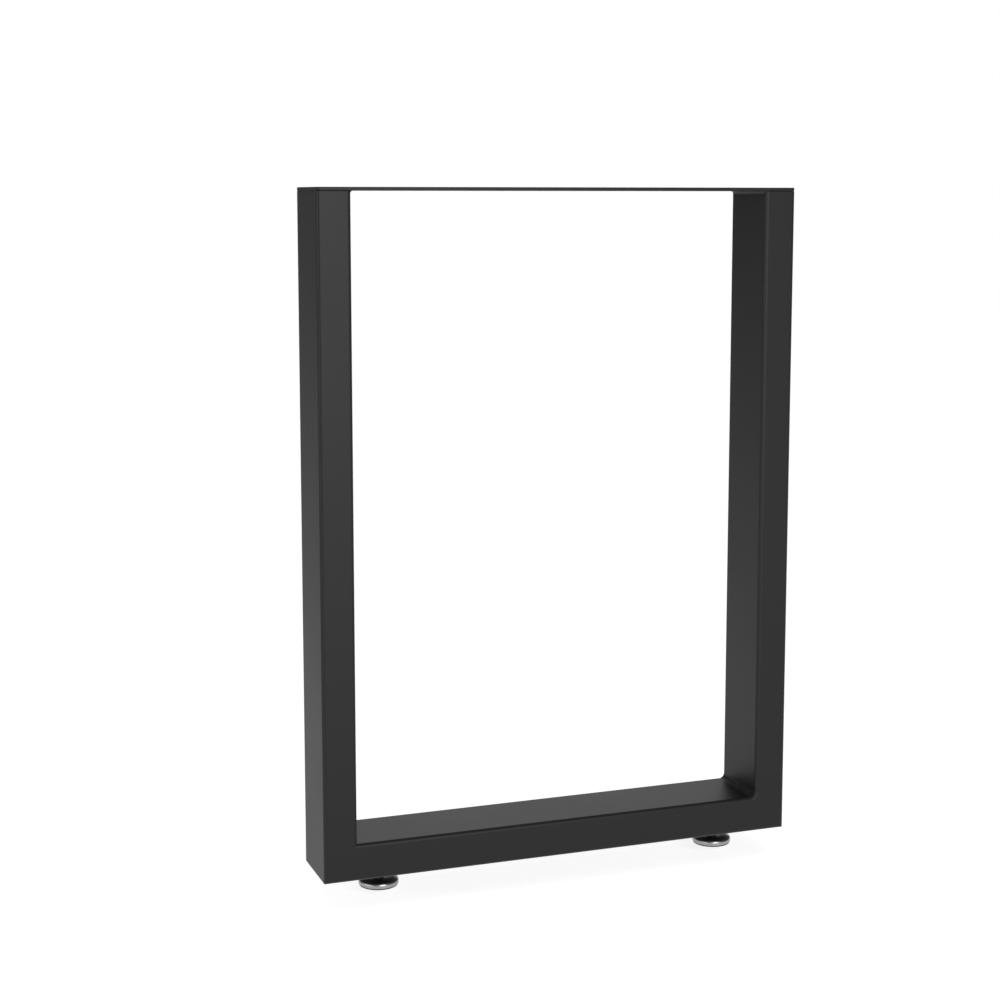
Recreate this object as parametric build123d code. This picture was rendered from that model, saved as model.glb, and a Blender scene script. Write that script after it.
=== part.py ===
from build123d import *
import os

# Frame: rectangular steel tube, mitred into a U, under a flat top plate
frame_width = 298.0  # over the outer faces of the uprights
frame_height = 400.0  # from the rail's underside to the plate's top
tube_depth = 45.0  # front to back
upright_face = 20.0  # as seen from the front
rail_face = 22.0  # as seen from the front
tube_wall = 1.5
tube_corner_radius = 2.2
tube_bore_radius = 0.7  # inner corners
mitre_dressing = 0.8  # radius left by grinding the outer mitre corners
plate_thickness = 2.0
seam_bevel = 0.3  # broken edges along the seam between plate and tube

# Screw holes through the plate, between the uprights
screw_hole_diameter = 6.5
screw_hole_inset = 29.0  # from an upright's inner face
screw_row_inset = 10.0  # from the plate's long edge

# Fillet welds in the four inner corners
upper_weld_leg = 2.4
lower_weld_leg = 3.0

# Levelling feet: where they sit and how far they are screwed out
foot_inset = 39.0  # foot axis from the frame's outer face
exposed_thread = 5.1  # bare stud between the cup and the rivet nut

# Rivet nut, clinched in the rail's underside
nut_body_diameter = 11.0
nut_flange_diameter = 13.0
nut_flange_thickness = 1.2
nut_bulge_diameter = 14.0  # collapsed skirt that grips the wall from inside
nut_bulge_height = 3.0
nut_headroom = 6.0  # from the nut's end to the rail's roof
nut_clearance = 0.05

# Stud: round head and threaded shank
thread_diameter = 8.0
thread_clearance = 0.08
stud_head_diameter = 13.0
stud_head_height = 2.0
stud_tip_chamfer = 1.0
stud_tip_clearance = 0.5  # from the tip to the rail's roof when screwed fully in
swivel_clearance = 0.1  # around the head, between cup and pad

# Cup: stamped sheet dome over a moulded pad
cup_diameter = 24.0
cup_wall = 1.0
cup_rim_height = 2.1  # upright wall, below the slope up to the crown
cup_crown_margin = 1.5  # flat crown past the stud's head
pad_clearance = 0.1
pad_stand = 0.8  # pad below the cup's rim
pad_setback = 0.4  # pad's lip inside the cup's outer wall
pad_floor = 2.0  # plastic under the stud's head

# Levels, from the floor up
head_bottom = pad_floor + swivel_clearance
head_top = head_bottom + stud_head_height
cup_ceiling = head_top + swivel_clearance
cup_top = cup_ceiling + cup_wall
rail_bottom = cup_top + exposed_thread + nut_flange_thickness
rail_top = rail_bottom + rail_face
rail_roof = rail_top - tube_wall
plate_top = rail_bottom + frame_height
plate_underside = plate_top - plate_thickness
nut_end = rail_roof - nut_headroom
stud_tip = rail_roof - stud_tip_clearance - exposed_thread

# Places across the frame
outer_x = frame_width / 2
inner_x = outer_x - upright_face
foot_x = outer_x - foot_inset
screw_x = inner_x - screw_hole_inset
screw_y = tube_depth / 2 - screw_row_inset
thread_radius = thread_diameter / 2
head_radius = stud_head_diameter / 2

parts = {}


def tube_section(width, height):
    outer = RectangleRounded(width, height, tube_corner_radius)
    bore = RectangleRounded(width - 2 * tube_wall, height - 2 * tube_wall, tube_bore_radius)
    return outer - bore


def turned(outline):
    """A solid of revolution about Z from (radius, height) points."""
    return revolve(Plane.XZ * make_face(Polyline(*outline, close=True)), Axis.Z)


# The frame's outline, with its two lower corners ground round
outline = Pos(0, rail_bottom + frame_height / 2) * Rectangle(frame_width, frame_height)
outline = fillet(outline.vertices().group_by(Axis.Y)[0], mitre_dressing)
envelope = extrude(Plane.XZ * outline, tube_depth / 2, both=True)

# Mitre planes run from the lower outer corners to the inner ones, with the uprights above them
left_mitre = Plane(origin=(-outer_x, 0, rail_bottom), z_dir=(-rail_face, 0, upright_face))
right_mitre = Plane(origin=(outer_x, 0, rail_bottom), z_dir=(rail_face, 0, upright_face))

# Uprights: mitred at the foot, square at the head with a broken edge under the plate
for name, centre_x, mitre in (
    ("left_upright", -outer_x + upright_face / 2, left_mitre),
    ("right_upright", outer_x - upright_face / 2, right_mitre),
):
    tube = extrude(tube_section(upright_face, tube_depth), plate_underside - rail_bottom)
    tube = split(Pos(centre_x, 0, rail_bottom) * tube, bisect_by=mitre, keep=Keep.TOP)
    tube = tube & envelope
    head_edges = tube.faces().sort_by(Axis.Z)[-1].outer_wire().edges()
    parts[name] = chamfer(head_edges, seam_bevel)

# Bottom rail: mitred at both ends, drilled below for the rivet nuts
rail = extrude(Plane.YZ * tube_section(tube_depth, rail_face), outer_x, both=True)
rail = Pos(0, 0, rail_bottom + rail_face / 2) * rail
rail = split(rail, bisect_by=left_mitre, keep=Keep.BOTTOM)
rail = split(rail, bisect_by=right_mitre, keep=Keep.BOTTOM)
rail = rail & envelope
nut_hole = Cylinder(nut_body_diameter / 2 + nut_clearance, rail_face)
for x in (-foot_x, foot_x):
    rail = rail - Pos(x, 0, rail_bottom) * nut_hole
parts["bottom_rail"] = rail

# Top plate: flat bar flush with the tubes, with holes for the seat's screws
plate = extrude(RectangleRounded(frame_width, tube_depth, tube_corner_radius), plate_thickness)
rim_edges = plate.edges().filter_by(Axis.Z, reverse=True)
plate = chamfer(rim_edges, seam_bevel)
screw_hole = Cylinder(screw_hole_diameter / 2, plate_thickness, align=(Align.CENTER, Align.CENTER, Align.MIN))
for x in (-screw_x, screw_x):
    for y in (-screw_y, screw_y):
        plate = plate - Pos(x, y, 0) * screw_hole
parts["top_plate"] = Pos(0, 0, plate_underside) * plate


# What each weld lies against, about a corner at the origin with the upright at -X
upright_side = extrude(RectangleRounded(upright_face, tube_depth, tube_corner_radius), rail_face, both=True)
upright_side = Pos(-upright_face / 2, 0, 0) * upright_side
rail_side = Rot(0, -90, 0) * upright_side
plate_side = Box(2 * upright_face, tube_depth, rail_face, align=(Align.CENTER, Align.CENTER, Align.MAX))


def corner_weld(leg, neighbour):
    """A dressed fillet weld at 45 degrees, whose two ends are rounded off like the tube's edges."""
    run = leg + 2 * tube_corner_radius
    bead = Box(2 * run, tube_depth, run, align=(Align.CENTER, Align.CENTER, Align.MAX))
    end_edges = bead.faces().sort_by(Axis.Z)[-1].edges().filter_by(Axis.X)
    bead = Pos(leg / 2, 0, leg / 2) * Rot(0, 45, 0) * fillet(end_edges, tube_corner_radius)
    return bead - upright_side - neighbour


# Welds: below, between rail and uprights; above, between plate and uprights
lower_weld = Pos(-inner_x, 0, rail_top) * corner_weld(lower_weld_leg, rail_side)
upper_weld = Pos(-inner_x, 0, plate_underside) * mirror(corner_weld(upper_weld_leg, plate_side), Plane.XY)
parts["weld_lower_left"] = lower_weld
parts["weld_lower_right"] = mirror(lower_weld, Plane.YZ)
parts["weld_upper_left"] = upper_weld
parts["weld_upper_right"] = mirror(upper_weld, Plane.YZ)


def rivet_nut():
    bore = thread_radius + thread_clearance
    body = nut_body_diameter / 2
    flange = nut_flange_diameter / 2
    bulge = nut_bulge_diameter / 2
    wall_top = rail_bottom + tube_wall
    return turned(
        [
            (bore, rail_bottom - nut_flange_thickness),
            (flange, rail_bottom - nut_flange_thickness),
            (flange, rail_bottom),
            (body, rail_bottom),
            (body, wall_top),
            (bulge, wall_top),
            (body, wall_top + nut_bulge_height),
            (body, nut_end),
            (bore, nut_end),
        ]
    )


def stud():
    return turned(
        [
            (0, head_bottom),
            (head_radius, head_bottom),
            (head_radius, head_top),
            (thread_radius, head_top),
            (thread_radius, stud_tip - stud_tip_chamfer),
            (thread_radius - stud_tip_chamfer, stud_tip),
            (0, stud_tip),
        ]
    )


def dome(inset):
    """The cup's pressed form, taken in by inset from its outer skin."""
    rim = cup_diameter / 2
    crown = head_radius + cup_crown_margin
    half = make_face(
        Polyline(
            (-inset, pad_stand - inset),
            (rim, pad_stand - inset),
            (rim, pad_stand + cup_rim_height),
            (crown, cup_top),
            (-inset, cup_top),
            close=True,
        )
    )
    if inset:
        half = offset(half, -inset, kind=Kind.INTERSECTION)
    return revolve(Plane.XZ * half, Axis.Z)


def cup():
    stud_hole = Cylinder(thread_radius + swivel_clearance, 2 * cup_top)
    return dome(0) - dome(cup_wall) - stud_hole


def pad():
    lip = Cylinder(cup_diameter / 2 - pad_setback, pad_stand, align=(Align.CENTER, Align.CENTER, Align.MIN))
    head_pocket = Pos(0, 0, pad_floor) * Cylinder(
        head_radius + swivel_clearance, cup_top, align=(Align.CENTER, Align.CENTER, Align.MIN)
    )
    return lip + dome(cup_wall + pad_clearance) - head_pocket


# Feet: a rivet nut fixed in the rail, and a stud whose head turns between cup and pad
for side, x in (("left", -foot_x), ("right", foot_x)):
    parts[f"{side}_rivet_nut"] = Pos(x, 0, 0) * rivet_nut()
    parts[f"{side}_foot_stud"] = Pos(x, 0, 0) * stud()
    parts[f"{side}_foot_cup"] = Pos(x, 0, 0) * cup()
    parts[f"{side}_foot_pad"] = Pos(x, 0, 0) * pad()

os.makedirs("parts", exist_ok=True)
for name, solid in parts.items():
    export_step(solid, f"parts/{name}.step")
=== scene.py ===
import math

import bmesh
import bpy
import mathutils
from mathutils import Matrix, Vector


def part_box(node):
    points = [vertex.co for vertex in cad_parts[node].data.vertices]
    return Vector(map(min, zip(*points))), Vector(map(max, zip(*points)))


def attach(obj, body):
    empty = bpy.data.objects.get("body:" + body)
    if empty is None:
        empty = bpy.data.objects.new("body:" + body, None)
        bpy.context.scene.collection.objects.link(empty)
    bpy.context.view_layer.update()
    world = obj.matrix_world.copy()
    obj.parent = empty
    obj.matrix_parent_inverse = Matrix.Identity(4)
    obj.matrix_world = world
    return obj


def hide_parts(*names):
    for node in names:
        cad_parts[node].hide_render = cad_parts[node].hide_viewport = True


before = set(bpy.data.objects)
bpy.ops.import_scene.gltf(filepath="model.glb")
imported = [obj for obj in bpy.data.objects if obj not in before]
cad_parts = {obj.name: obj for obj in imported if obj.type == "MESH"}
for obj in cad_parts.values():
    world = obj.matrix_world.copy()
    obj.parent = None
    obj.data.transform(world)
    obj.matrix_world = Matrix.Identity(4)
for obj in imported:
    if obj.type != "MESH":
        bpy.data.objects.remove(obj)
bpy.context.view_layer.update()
bpy.context.scene.view_settings.view_transform = "Standard"


# Uprights and bottom rail: stock rectangular steel tube, mitred, welded into a U and dressed flush.
# The whole frame is then powder coated in satin black, baked to a fine sandy grain, and the coat
# draws thin and a little shinier over the tube's rounded corners.
tube_corner = 0.0022  # outer radius
coat_black = (0.0090, 0.0090, 0.0092, 1.0)
coat_thin = (0.0130, 0.0130, 0.0133, 1.0)
patch_weight = 0.35  # how far patches and corners pull the colour to the thin coat's
corner_weight = 0.65
coat_shine = 0.26
coat_roughness = (0.45, 0.51)
corner_polish = 0.05  # taken off the roughness over a corner
grain_per_metre = 1900.0
peel_per_metre = 260.0
mottle_per_metre = 14.0
grain_weight = 0.75  # what grain and peel each give to the bumps
peel_weight = 0.25
grain_height = 0.00003
coat_bump = 0.5

upright_low, upright_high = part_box("right_upright")
rail_low, rail_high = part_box("bottom_rail")


def new_finish(name):
    """A material, its node tree and its shader."""
    material = bpy.data.materials.new(name)
    material.use_nodes = True
    return material, material.node_tree, material.node_tree.nodes["Principled BSDF"]


def add(tree, kind, settings=None, **inputs):
    """A node of a kind, with its settings and its unlinked input values."""
    node = tree.nodes.new(kind)
    for name, value in (settings or {}).items():
        setattr(node, name, value)
    for name, value in inputs.items():
        node.inputs[name.replace("_", " ")].default_value = value
    return node


def maths(tree, operation, first, second=0.0):
    """A math node whose inputs are either sockets or plain numbers."""
    node = add(tree, "ShaderNodeMath", {"operation": operation})
    for socket, value in zip(node.inputs, (first, second)):
        if isinstance(value, bpy.types.NodeSocket):
            tree.links.new(value, socket)
        else:
            socket.default_value = value
    return node.outputs[0]


def new_group(name, inputs, outputs):
    """A shader node group with float sockets, and its two end nodes."""
    group = bpy.data.node_groups.new(name, "ShaderNodeTree")
    for label in inputs:
        group.interface.new_socket(label, in_out="INPUT", socket_type="NodeSocketFloat")
    for label in outputs:
        group.interface.new_socket(label, in_out="OUTPUT", socket_type="NodeSocketFloat")
    return group, group.nodes.new("NodeGroupInput"), group.nodes.new("NodeGroupOutput")


def place(tree, group, **inputs):
    """A node group placed in a tree with its own values."""
    node = tree.nodes.new("ShaderNodeGroup")
    node.node_tree = group
    for name, value in inputs.items():
        node.inputs[name.replace("_", " ")].default_value = value
    return node


def on_piece(tree):
    """The point on a piece, in metres."""
    return add(tree, "ShaderNodeTexCoord").outputs["Object"]


def axes_on_piece(tree):
    """The point's X, Y and Z."""
    axes = add(tree, "ShaderNodeSeparateXYZ")
    tree.links.new(on_piece(tree), axes.inputs["Vector"])
    return axes.outputs


def tint(tree, shader, value, first, second):
    """Colours a finish from first to second as a value goes from 0 to 1."""
    colour = add(tree, "ShaderNodeMix", {"data_type": "RGBA"})
    colour.inputs["A"].default_value = first
    colour.inputs["B"].default_value = second
    tree.links.new(value, colour.inputs["Factor"])
    tree.links.new(colour.outputs["Result"], shader.inputs["Base Color"])


def between(tree, value, limits):
    """Goes from one limit to the other as a value goes from 0 to 1."""
    span = add(tree, "ShaderNodeMapRange", To_Min=limits[0], To_Max=limits[1])
    tree.links.new(value, span.inputs["Value"])
    return span.outputs["Result"]


def bump_up(tree, target, height, strength, distance):
    """Bumps the surface under a shader, or under another bump."""
    bump = add(tree, "ShaderNodeBump", Strength=strength, Distance=distance)
    tree.links.new(height, bump.inputs["Height"])
    tree.links.new(bump.outputs["Normal"], target.inputs["Normal"])
    return bump


# Baked powder: fine grain over a slight orange peel, and broad patches where the gun passed twice
powder, powder_in, powder_out = new_group("baked powder", ["Grain", "Peel", "Patches"], ["Height", "Patch"])
powder_point = on_piece(powder)
noises = {}
for label, detail in (("Grain", 2.0), ("Peel", 1.0), ("Patches", 3.0)):
    noises[label] = add(powder, "ShaderNodeTexNoise", Detail=detail)
    powder.links.new(powder_point, noises[label].inputs["Vector"])
    powder.links.new(powder_in.outputs[label], noises[label].inputs["Scale"])
grain_share = maths(powder, "MULTIPLY", noises["Grain"].outputs["Fac"], grain_weight)
peel_share = maths(powder, "MULTIPLY", noises["Peel"].outputs["Fac"], peel_weight)
powder.links.new(maths(powder, "ADD", grain_share, peel_share), powder_out.inputs["Height"])
powder.links.new(noises["Patches"].outputs["Fac"], powder_out.inputs["Patch"])

# Corner closeness: 0 on a tube's flats, rising to 1 over its rounded corners
corner, corner_in, corner_out = new_group(
    "corner closeness", ["Across", "Deep", "Half Face", "Half Depth", "Radius"], ["Corner"]
)
past_flats = []
for place_label, half_label in (("Across", "Half Face"), ("Deep", "Half Depth")):
    distance = maths(corner, "ABSOLUTE", corner_in.outputs[place_label])
    flat_end = maths(corner, "SUBTRACT", corner_in.outputs[half_label], corner_in.outputs["Radius"])
    past_flats.append(maths(corner, "SUBTRACT", distance, flat_end))
nearest = maths(corner, "MINIMUM", past_flats[0], past_flats[1])
share = maths(corner, "DIVIDE", nearest, corner_in.outputs["Radius"])
ramp = add(corner, "ShaderNodeMapRange", {"interpolation_type": "SMOOTHSTEP"})
corner.links.new(share, ramp.inputs["Value"])
corner.links.new(ramp.outputs["Result"], corner_out.inputs["Corner"])


def coat_finish(name, across, half_face, half_depth, radius):
    """Powder coat on a bar; across gives the distance from its middle, over its narrow face."""
    material, tree, shader = new_finish(name)
    baked = place(tree, powder, Grain=grain_per_metre, Peel=peel_per_metre, Patches=mottle_per_metre)
    axes = axes_on_piece(tree)
    edge = place(tree, corner, Half_Face=half_face, Half_Depth=half_depth, Radius=radius)
    tree.links.new(across(tree, axes), edge.inputs["Across"])
    tree.links.new(axes["Y"], edge.inputs["Deep"])

    patch_tone = maths(tree, "MULTIPLY", baked.outputs["Patch"], patch_weight)
    edge_tone = maths(tree, "MULTIPLY", edge.outputs["Corner"], corner_weight)
    tint(tree, shader, maths(tree, "ADD", patch_tone, edge_tone), coat_black, coat_thin)

    flat_roughness = between(tree, baked.outputs["Patch"], coat_roughness)
    thinned = maths(tree, "MULTIPLY", edge.outputs["Corner"], corner_polish)
    tree.links.new(maths(tree, "SUBTRACT", flat_roughness, thinned), shader.inputs["Roughness"])
    shader.inputs["Specular IOR Level"].default_value = coat_shine
    bump_up(tree, shader, baked.outputs["Height"], coat_bump, grain_height)
    return material


def give_finish(piece, material):
    """Gives a piece one finish all over."""
    piece.data.materials.clear()
    piece.data.materials.append(material)


def dress(node_name, material):
    """Gives a CAD node its finish."""
    give_finish(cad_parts[node_name], material)


upright_centre = (upright_low.x + upright_high.x) / 2
rail_centre = (rail_low.z + rail_high.z) / 2
upright_half = (upright_high.x - upright_low.x) / 2
rail_half = (rail_high.z - rail_low.z) / 2
half_depth = (rail_high.y - rail_low.y) / 2


def across_upright(tree, axes):
    return maths(tree, "SUBTRACT", maths(tree, "ABSOLUTE", axes["X"]), upright_centre)


def across_rail(tree, axes):
    return maths(tree, "SUBTRACT", axes["Z"], rail_centre)


upright_coat = coat_finish("powder coat on uprights", across_upright, upright_half, half_depth, tube_corner)
rail_coat = coat_finish("powder coat on rail", across_rail, rail_half, half_depth, tube_corner)
dress("left_upright", upright_coat)
dress("right_upright", upright_coat)
dress("bottom_rail", rail_coat)


# Corner welds: MIG beads laid in the four inner corners, hollow-faced, dressed into the tubes and
# coated with the frame. The coat softens what is left of each bead's ripples along its length.
lower_bead_radius = 0.0034
upper_bead_radius = 0.0020
lower_bead_root = 0.0046
upper_bead_root = 0.0017
root_rounding = 0.95  # most of a root that its rounded ends may take
bead_set_back = 0.00001
upper_bead_inset = 0.0008
left_bead_stop = 0.0135
bead_end_steps = 6
bead_face_steps = 10
merge_distance = 1e-7
smooth_angle = math.radians(35)
ripple_pitch = 0.0014
ripple_height = 0.00004
ripple_wander = 1.6
wave_length = 0.314  # of a wave texture at a scale of 1
weld_roughness = (0.48, 0.56)

weld_coat, tree, shader = new_finish("powder coat on welds")
baked = place(tree, powder, Grain=grain_per_metre, Peel=peel_per_metre, Patches=mottle_per_metre)
tint(tree, shader, baked.outputs["Patch"], coat_black, coat_thin)
ripples = add(tree, "ShaderNodeTexWave", {"bands_direction": "Y"}, Distortion=ripple_wander, Detail=1.0)
ripples.inputs["Scale"].default_value = wave_length / ripple_pitch
tree.links.new(on_piece(tree), ripples.inputs["Vector"])
tree.links.new(between(tree, ripples.outputs["Fac"], weld_roughness), shader.inputs["Roughness"])
shader.inputs["Specular IOR Level"].default_value = coat_shine
ripple_bump = bump_up(tree, shader, ripples.outputs["Fac"], coat_bump, ripple_height)
bump_up(tree, ripple_bump, baked.outputs["Height"], coat_bump, grain_height)


def deselect_all():
    if bpy.context.object and bpy.context.object.mode != "OBJECT":
        bpy.ops.object.mode_set(mode="OBJECT")
    bpy.ops.object.select_all(action="DESELECT")


def take_up(piece):
    """Makes a piece the only one selected."""
    deselect_all()
    piece.select_set(True)
    bpy.context.view_layer.objects.active = piece


def copy_of(piece):
    take_up(piece)
    bpy.ops.object.duplicate(linked=False)
    return bpy.context.object


def choose(kind, test):
    """In edit mode, selects only the faces, edges or vertices that pass a test."""
    bpy.ops.mesh.select_all(action="DESELECT")
    bpy.ops.mesh.select_mode(type=kind)
    shape = bmesh.from_edit_mesh(bpy.context.object.data)
    for element in {"FACE": shape.faces, "EDGE": shape.edges, "VERT": shape.verts}[kind]:
        element.select_set(test(element))
    shape.select_flush_mode()
    bmesh.update_edit_mesh(bpy.context.object.data)


def hollow_bead(corner_x, corner_z, radius, root, front, back, away):
    """A bead's section by the upright, spun round the corner to its neighbour below or above."""
    end_round = min(tube_corner, root * root_rounding)
    spin_centre = (corner_x + radius, 0, corner_z + away * radius)
    section_centre = (corner_x - root / 2, (front + back) / 2, spin_centre[2])
    deselect_all()
    bpy.ops.mesh.primitive_plane_add(size=1.0, location=section_centre)
    bead = bpy.context.object
    bpy.ops.transform.resize(value=(root, back - front, 1.0))
    bpy.ops.object.transform_apply(location=True, rotation=True, scale=True)
    bpy.ops.object.mode_set(mode="EDIT")
    choose("VERT", lambda vertex: vertex.co.x > corner_x - root / 2)
    bpy.ops.mesh.bevel(offset=end_round, segments=bead_end_steps, affect="VERTICES")
    bpy.ops.mesh.select_all(action="SELECT")
    bpy.ops.mesh.spin(steps=bead_face_steps, angle=away * math.pi / 2, center=spin_centre, axis=(0, 1, 0))
    bpy.ops.mesh.select_all(action="SELECT")
    bpy.ops.mesh.remove_doubles(threshold=merge_distance)
    bpy.ops.mesh.normals_make_consistent(inside=False)
    bpy.ops.object.mode_set(mode="OBJECT")
    bpy.ops.object.shade_smooth_by_angle(angle=smooth_angle)
    return bead


def lay_bead(bead, node_name):
    """Gives a bead its finish and lets it stand for its CAD node."""
    bead.name = node_name + "_made"
    give_finish(bead, weld_coat)
    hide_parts(node_name)
    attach(bead, "frame")


def turned_copy(bead):
    """A copy of a left bead for the right corner, turned half round."""
    twin = copy_of(bead)
    twin.rotation_euler = (0, 0, math.pi)
    bpy.ops.object.transform_apply(location=True, rotation=True, scale=True)
    return twin


inner_x = upright_low.x
bead_end = half_depth - bead_set_back
lower_bead = hollow_bead(
    -inner_x, rail_high.z, lower_bead_radius, lower_bead_root, -bead_end, bead_end, 1
)
lay_bead(turned_copy(lower_bead), "weld_lower_right")
take_up(lower_bead)
bpy.ops.object.mode_set(mode="EDIT")
choose("VERT", lambda vertex: vertex.co.y < 0)
bpy.ops.transform.translate(value=(0, left_bead_stop, 0))
bpy.ops.object.mode_set(mode="OBJECT")
lay_bead(lower_bead, "weld_lower_left")
upper_end = bead_end - upper_bead_inset
upper_bead = hollow_bead(
    -inner_x, upright_high.z, upper_bead_radius, upper_bead_root, -upper_end, upper_end, -1
)
lay_bead(turned_copy(upper_bead), "weld_upper_right")
lay_bead(upper_bead, "weld_upper_left")


# Top plate: flat steel bar, sheared to the frame's width, drilled for the seat's screws and welded
# flush over both uprights. It carries the same coat, thinner along its sheared edges.
plate_low, plate_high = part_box("top_plate")
plate_centre = (plate_low.z + plate_high.z) / 2
plate_half = (plate_high.z - plate_low.z) / 2
plate_edge = 0.0004  # where the coat thins


def across_plate(tree, axes):
    return maths(tree, "SUBTRACT", axes["Z"], plate_centre)


dress("top_plate", coat_finish("powder coat on plate", across_plate, plate_half, half_depth, plate_edge))


# Rivet nuts: turned steel inserts, plated in black zinc, clinched in the rail's underside so that
# their flanges lie flat against it. Faint turning rings and cloudy plating break up their shine.
zinc_light = (0.12, 0.12, 0.125, 1.0)
zinc_dull = (0.06, 0.06, 0.063, 1.0)
zinc_roughness = (0.26, 0.42)
clouds_per_metre = 420.0
turning_rings_per_metre = 5200.0
turning_height = 0.00001
turning_bump = 0.3
foot_x = sum(corner_point.x for corner_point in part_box("right_foot_stud")) / 2


def from_axis(tree):
    """Distance from the nearer foot's axis."""
    axes = axes_on_piece(tree)
    sideways = maths(tree, "SUBTRACT", maths(tree, "ABSOLUTE", axes["X"]), foot_x)
    squares = []
    for leg in (sideways, axes["Y"]):
        squares.append(maths(tree, "POWER", maths(tree, "ABSOLUTE", leg), 2.0))
    return maths(tree, "SQRT", maths(tree, "ADD", squares[0], squares[1]))


def cloudy(tree, clouds, detail):
    """Soft noise over a piece, with so many clouds in a metre."""
    noise = add(tree, "ShaderNodeTexNoise", Scale=clouds, Detail=detail)
    tree.links.new(on_piece(tree), noise.inputs["Vector"])
    return noise.outputs["Fac"]


# Turning rings: fine uneven circles about a foot's axis
rings, rings_in, rings_out = new_group("turning rings", ["Rings"], ["Ring"])
ring_noise = add(rings, "ShaderNodeTexNoise", {"noise_dimensions": "1D"}, Detail=2.0)
rings.links.new(from_axis(rings), ring_noise.inputs["W"])
rings.links.new(rings_in.outputs["Rings"], ring_noise.inputs["Scale"])
rings.links.new(ring_noise.outputs["Fac"], rings_out.inputs["Ring"])

zinc, tree, shader = new_finish("black zinc plate")
tint(tree, shader, cloudy(tree, clouds_per_metre, 3.0), zinc_dull, zinc_light)
turned = place(tree, rings, Rings=turning_rings_per_metre)
tree.links.new(between(tree, turned.outputs["Ring"], zinc_roughness), shader.inputs["Roughness"])
shader.inputs["Metallic"].default_value = 1.0
bump_up(tree, shader, turned.outputs["Ring"], turning_bump, turning_height)
for side in ("left", "right"):
    dress(f"{side}_rivet_nut", zinc)


# Foot studs: M8 studs with a rolled thread and a round head that turns between cup and pad, in the
# same black zinc as the nuts that they screw into. The thread runs out just above the head.
shank_radius = 0.004
thread_pitch = 0.00125
thread_depth = 0.00068
thread_crest = 0.00016
thread_steps = 40  # sections in one turn
ridge_spread = 1.25  # width of the ridge's root over the thread's depth
head_height = 0.002
tip_chamfer = 0.001
tip_slope = 0.6  # run of the tip's chamfer over its rise
broken_edge = 0.0002
broken_edge_steps = 2
stud_sides = 64
nearly_level = 0.9  # how far up or down a face looks to count as level


def looks_up(face):
    return face.normal.z > nearly_level


def looks_down(face):
    return face.normal.z < -nearly_level


def apply_all(piece):
    """Applies a piece's modifiers and puts its place into its mesh."""
    take_up(piece)
    for modifier in list(piece.modifiers):
        bpy.ops.object.modifier_apply(modifier=modifier.name)
    bpy.ops.object.transform_apply(location=True, rotation=True, scale=True)


def fit_both_feet(left_piece, part_name, body_name, material):
    """Copies a left foot's finished piece to the right foot, and lets both stand for their CAD nodes."""
    give_finish(left_piece, material)
    right_piece = copy_of(left_piece)
    bpy.ops.transform.translate(value=(2 * foot_x, 0, 0))
    bpy.ops.object.transform_apply(location=True, rotation=True, scale=True)
    for side, piece in (("left", left_piece), ("right", right_piece)):
        piece.name = f"{side}_{part_name}_made"
        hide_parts(f"{side}_{part_name}")
        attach(piece, f"{side}_{body_name}")


stud_low, stud_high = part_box("left_foot_stud")
core_radius = shank_radius - thread_depth
head_radius = (stud_high.x - stud_low.x) / 2
head_top = stud_low.z + head_height
thread_end = stud_high.z - tip_chamfer

deselect_all()
bpy.ops.mesh.primitive_cylinder_add(
    vertices=stud_sides,
    radius=head_radius,
    depth=head_height,
    location=(-foot_x, 0, stud_low.z + head_height / 2),
)
stud = bpy.context.object
bpy.ops.object.mode_set(mode="EDIT")
choose("FACE", looks_up)
bpy.ops.mesh.inset(thickness=head_radius - core_radius)
bpy.ops.mesh.extrude_region_move(TRANSFORM_OT_translate={"value": (0, 0, thread_end - head_top)})
bpy.ops.mesh.inset(thickness=tip_chamfer * tip_slope, depth=tip_chamfer)
bpy.ops.object.mode_set(mode="OBJECT")
bevel = stud.modifiers.new("broken edges", "BEVEL")
bevel.width = broken_edge
bevel.segments = broken_edge_steps
apply_all(stud)

# One section of the thread's ridge, wound up the core
ridge_foot = head_top + thread_pitch
ridge_width = thread_depth * ridge_spread
deselect_all()
bpy.ops.mesh.primitive_plane_add(size=ridge_width, rotation=(math.pi / 2, 0, 0))
ridge = bpy.context.object
bpy.ops.object.transform_apply(rotation=True)
bpy.ops.object.mode_set(mode="EDIT")
bpy.ops.mesh.delete(type="ONLY_FACE")
choose("EDGE", lambda edge: all(vertex.co.x > 0 for vertex in edge.verts))
bpy.ops.transform.resize(value=(1, 1, thread_crest / ridge_width))
bpy.ops.mesh.select_all(action="SELECT")
bpy.ops.transform.translate(value=(shank_radius - ridge_width / 2, 0, 0))
bpy.ops.object.mode_set(mode="OBJECT")
wind = ridge.modifiers.new("thread", "SCREW")
wind.screw_offset = thread_pitch
wind.iterations = int((thread_end - ridge_foot) / thread_pitch) - 1
wind.steps = thread_steps
wind.render_steps = thread_steps
wind.use_smooth_shade = False
ridge.location = (-foot_x, 0, ridge_foot)
apply_all(ridge)
bpy.ops.object.mode_set(mode="EDIT")
bpy.ops.mesh.select_all(action="SELECT")
bpy.ops.mesh.fill_holes(sides=4)
bpy.ops.mesh.normals_make_consistent(inside=False)
take_up(stud)
ridge.select_set(True)
bpy.ops.object.join()
bpy.ops.object.shade_smooth_by_angle(angle=smooth_angle)
fit_both_feet(stud, "foot_stud", "screw", zinc)


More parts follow.
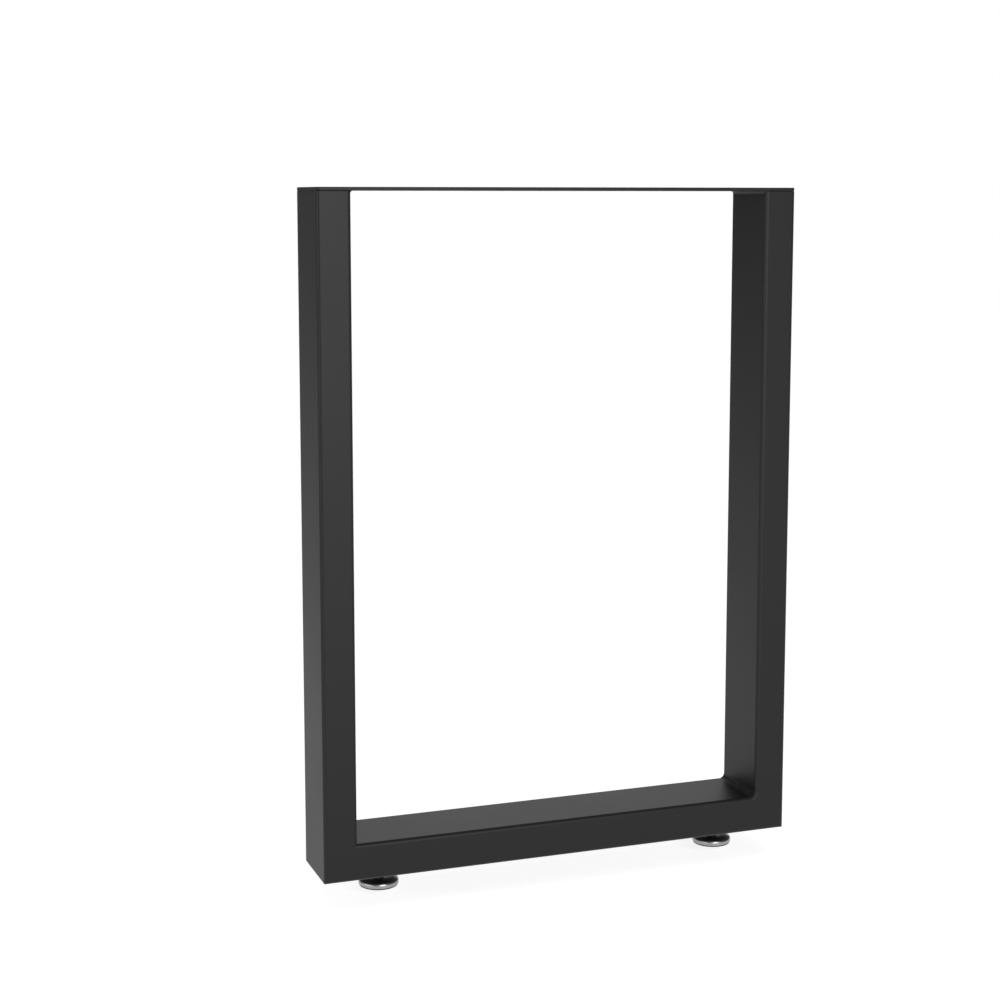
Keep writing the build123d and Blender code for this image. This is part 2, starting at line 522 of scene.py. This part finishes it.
# Foot cups: discs of steel sheet, pressed to a low dome with a turned-down rim and bright nickel
# plated. Each drops over its stud and closes over the pad, and its crown shows the dark rail above.
rim_height = 0.0028
crown_radius = 0.008
stud_hole_radius = 0.0041
sheet_thickness = 0.001
shoulder_round = 0.0012
shoulder_steps = 6
crown_round = 0.0016
crown_steps = 5
rolled_rim_steps = 3
rolled_rim_angle = math.radians(50)  # edges sharper than this are rolled
same_level = 1e-6
same_reach = 1e-5
foot_sides = 96
nickel_dull = (0.28, 0.28, 0.28, 1.0)
nickel_bright = (0.37, 0.37, 0.374, 1.0)
nickel_roughness = (0.26, 0.36)
haze_per_metre = 180.0
spinning_rings_per_metre = 7000.0
spinning_height = 0.000006
spinning_bump = 0.2

plating, tree, shader = new_finish("bright nickel plate")
spun = place(tree, rings, Rings=spinning_rings_per_metre)
tint(tree, shader, cloudy(tree, haze_per_metre, 2.0), nickel_dull, nickel_bright)
tree.links.new(between(tree, spun.outputs["Ring"], nickel_roughness), shader.inputs["Roughness"])
shader.inputs["Metallic"].default_value = 1.0
bump_up(tree, shader, spun.outputs["Ring"], spinning_bump, spinning_height)

cup_low, cup_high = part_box("left_foot_cup")
cup_radius = (cup_high.x - cup_low.x) / 2
rim_top = cup_low.z + rim_height


def on_shoulder(edge):
    return all(abs(vertex.co.z - rim_top) < same_level for vertex in edge.verts)


def on_crown_edge(edge):
    reaches = [math.hypot(vertex.co.x + foot_x, vertex.co.y) for vertex in edge.verts]
    return all(abs(reach - crown_radius) < same_reach for reach in reaches)


deselect_all()
bpy.ops.mesh.primitive_cylinder_add(
    vertices=foot_sides,
    radius=cup_radius,
    depth=rim_height,
    location=(-foot_x, 0, cup_low.z + rim_height / 2),
)
cup = bpy.context.object
bpy.ops.object.transform_apply(location=True)
bpy.ops.object.mode_set(mode="EDIT")
choose("FACE", looks_down)
bpy.ops.mesh.delete(type="FACE")
choose("FACE", looks_up)
bpy.ops.mesh.inset(thickness=cup_radius - crown_radius, depth=cup_high.z - rim_top)
bpy.ops.mesh.inset(thickness=crown_radius - stud_hole_radius)
bpy.ops.mesh.delete(type="FACE")
choose("EDGE", on_shoulder)
bpy.ops.mesh.bevel(offset=shoulder_round, segments=shoulder_steps, affect="EDGES")
choose("EDGE", on_crown_edge)
bpy.ops.mesh.bevel(offset=crown_round, segments=crown_steps, affect="EDGES")
bpy.ops.object.mode_set(mode="OBJECT")
sheet = cup.modifiers.new("sheet", "SOLIDIFY")
sheet.thickness = sheet_thickness
sheet.offset = -1.0
sheet.use_even_offset = True
rim = cup.modifiers.new("rolled rim", "BEVEL")
rim.width = broken_edge
rim.segments = rolled_rim_steps
rim.angle_limit = rolled_rim_angle
apply_all(cup)
bpy.ops.object.shade_smooth_by_angle(angle=smooth_angle)
fit_both_feet(cup, "foot_cup", "base", plating)


# Foot pads: moulded black plastic, pressed into the cups from below so that a thin lip shows under
# each rim. The underside has a grip ring round a shallow sink and a low boss.
lip_height = 0.0008
lip_overhang = 0.0008
grip_ring = 0.0022
sink_depth = 0.0005
boss_radius = 0.0045
plastic_dark = (0.012, 0.012, 0.012, 1.0)
plastic_pale = (0.024, 0.024, 0.024, 1.0)
plastic_roughness = (0.52, 0.70)
mould_grain_per_metre = 2600.0
mould_height = 0.00003
mould_bump = 0.4

plastic, tree, shader = new_finish("moulded black plastic")
mould = cloudy(tree, mould_grain_per_metre, 2.0)
tint(tree, shader, mould, plastic_dark, plastic_pale)
tree.links.new(between(tree, mould, plastic_roughness), shader.inputs["Roughness"])
bump_up(tree, shader, mould, mould_bump, mould_height)

pad_low, pad_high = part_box("left_foot_pad")
pad_radius = (pad_high.x - pad_low.x) / 2

deselect_all()
bpy.ops.mesh.primitive_cylinder_add(
    vertices=foot_sides,
    radius=pad_radius,
    depth=lip_height,
    location=(-foot_x, 0, pad_low.z + lip_height / 2),
)
pad = bpy.context.object
bpy.ops.object.mode_set(mode="EDIT")
choose("FACE", looks_down)
bpy.ops.mesh.inset(thickness=grip_ring)
bpy.ops.mesh.inset(thickness=sink_depth, depth=-sink_depth)
bpy.ops.mesh.inset(thickness=pad_radius - grip_ring - 2 * sink_depth - boss_radius)
bpy.ops.mesh.inset(thickness=sink_depth, depth=sink_depth)
choose("FACE", looks_up)
bpy.ops.mesh.inset(thickness=lip_overhang)
bpy.ops.mesh.extrude_region_move(TRANSFORM_OT_translate={"value": (0, 0, lip_height)})
bpy.ops.object.mode_set(mode="OBJECT")
edges = pad.modifiers.new("moulded edges", "BEVEL")
edges.width = broken_edge
edges.segments = broken_edge_steps
apply_all(pad)
bpy.ops.object.shade_smooth_by_angle(angle=smooth_angle)
fit_both_feet(pad, "foot_pad", "base", plastic)


# Studio: a plain sweep of white paper under the leg, and a pale surround that is white behind it and darker
# at the left rear, as if a black flag stood there. On the paper that shade is painted: no flag casts it,
# the paper's glow just drops softly there. One soft box stands in front, and a light at the left draws a
# thin line down the tubes' rounded edges.
floor_level = -0.0062  # just under the pads when the feet are screwed right out
paper_radius = 6.0
paper_sides = 96
paper_white = 0.7
paper_roughness = 0.9
paper_glow = 0.76
# The paper's glow drops to the second value at the left rear. That is painted shade, set out by the fade,
# corner and turn below.
paper_glow_in_painted_shade = 0.28
white = (1.0, 1.0, 1.0, 1.0)
surround_pale = 0.14
flag_shade = 0.11
painted_shade_fade = 0.35
painted_shade_corner = (-0.33, 0.10)
painted_shade_turn = math.radians(5.4)  # the shade's long edge, from straight back
lamp_place = (0.12, -1.78, 0.58)
lamp_aim = (0.0, 0.0, 0.25)
lamp_width = 0.8
lamp_power = 18.0
camera_place = (-0.4181, -1.0520, 0.4055)
camera_yaw = math.radians(20.11)
camera_dip = math.radians(7.39)
camera_sensor = 36.0
camera_lens = 68.63
camera_shift = -0.055

deselect_all()
bpy.ops.mesh.primitive_circle_add(
    vertices=paper_sides, radius=paper_radius, fill_type="NGON", location=(0, 0, floor_level)
)
floor = bpy.context.object
floor.name = "studio_floor"
paper, tree, shader = new_finish("white paper")
shader.inputs["Base Color"].default_value = (paper_white, paper_white, paper_white, 1.0)
shader.inputs["Roughness"].default_value = paper_roughness
shader.inputs["Specular IOR Level"].default_value = 0.0


def fade_along(tree, point, direction, start, end, most=1.0):
    """0 up to a start along a direction, rising smoothly to its most at an end."""
    reach = add(tree, "ShaderNodeVectorMath", {"operation": "DOT_PRODUCT"})
    reach.inputs[1].default_value = direction
    tree.links.new(point, reach.inputs[0])
    fade = add(tree, "ShaderNodeMapRange", {"interpolation_type": "SMOOTHSTEP"}, To_Max=most)
    fade.inputs["From Min"].default_value = start
    fade.inputs["From Max"].default_value = end
    tree.links.new(reach.outputs["Value"], fade.inputs["Value"])
    return fade.outputs["Result"]


# Painted shade on the paper: its glow falls smoothly from white to grey leftwards of the view's edge and
# towards the rear.
to_left = (-math.cos(painted_shade_turn), math.sin(painted_shade_turn), 0.0)
to_rear = (0.0, 1.0, 0.0)
left_start = to_left[0] * painted_shade_corner[0] + to_left[1] * painted_shade_corner[1]
painted_shade_leftward = fade_along(tree, on_piece(tree), to_left, left_start, left_start + painted_shade_fade)
painted_shade_rearward = fade_along(tree, on_piece(tree), to_rear, painted_shade_corner[1] - painted_shade_fade, painted_shade_corner[1])
painted_floor_shade = maths(tree, "MULTIPLY", painted_shade_leftward, painted_shade_rearward)
glow = add(tree, "ShaderNodeEmission")
glow.inputs["Color"].default_value = white
tree.links.new(between(tree, painted_floor_shade, (paper_glow, paper_glow_in_painted_shade)), glow.inputs["Strength"])
lit = add(tree, "ShaderNodeAddShader")
tree.links.new(shader.outputs["BSDF"], lit.inputs[0])
tree.links.new(glow.outputs["Emission"], lit.inputs[1])
ray = add(tree, "ShaderNodeLightPath")
seen = maths(tree, "MAXIMUM", ray.outputs["Is Camera Ray"], ray.outputs["Is Glossy Ray"])
seen = maths(tree, "MAXIMUM", seen, ray.outputs["Is Transmission Ray"])
pick = add(tree, "ShaderNodeMixShader")
tree.links.new(seen, pick.inputs["Fac"])
tree.links.new(shader.outputs["BSDF"], pick.inputs[1])
tree.links.new(lit.outputs["Shader"], pick.inputs[2])
tree.links.new(pick.outputs["Shader"], tree.nodes["Material Output"].inputs["Surface"])
floor.data.materials.append(paper)

world = bpy.data.worlds.new("studio surround")
bpy.context.scene.world = world
world.use_nodes = True
tree = world.node_tree
background = tree.nodes["Background"]
background.inputs["Color"].default_value = white
sky = add(tree, "ShaderNodeTexCoord").outputs["Generated"]


def sky_glow(bearing, rise, nearly, fully, strength):
    """Light from one side of the surround, fading in between two angles from its middle, in degrees."""
    turn = math.radians(bearing)
    tilt = math.radians(rise)
    middle = (math.sin(turn) * math.cos(tilt), math.cos(turn) * math.cos(tilt), math.sin(tilt))
    start = math.cos(math.radians(nearly))
    end = math.cos(math.radians(fully))
    return fade_along(tree, sky, middle, start, end, strength)


behind = sky_glow(20, 10, 27, 20, 1.0 - surround_pale)
crest = sky_glow(20, 30, 26, 8, 0.45)
overhead = sky_glow(0, 90, 40, 10, 0.5)
flag = sky_glow(-38, 15, 40, 22, -flag_shade)
under_flag = sky_glow(-26, 0, 20, 6, 0.25)
left_light = sky_glow(-102, 0, 36, 14, 3.0)
total = surround_pale
for part in (behind, crest, overhead, flag, under_flag, left_light):
    total = maths(tree, "ADD", part, total)
tree.links.new(total, background.inputs["Strength"])

deselect_all()
bpy.ops.object.light_add(type="AREA", location=lamp_place)
lamp = bpy.context.object
lamp.name = "front_lamp"
lamp.data.shape = "RECTANGLE"
lamp.data.size = lamp_width
lamp.data.size_y = lamp_width
lamp.data.energy = lamp_power
towards = mathutils.Vector(lamp_aim) - mathutils.Vector(lamp_place)
lamp.rotation_mode = "QUATERNION"
lamp.rotation_quaternion = towards.to_track_quat("-Z", "Y")

deselect_all()
bpy.ops.object.camera_add(
    location=camera_place, rotation=(math.pi / 2 - camera_dip, 0.0, -camera_yaw)
)
camera = bpy.context.object
camera.data.sensor_width = camera_sensor
camera.data.lens = camera_lens
camera.data.shift_y = camera_shift
bpy.context.scene.camera = camera
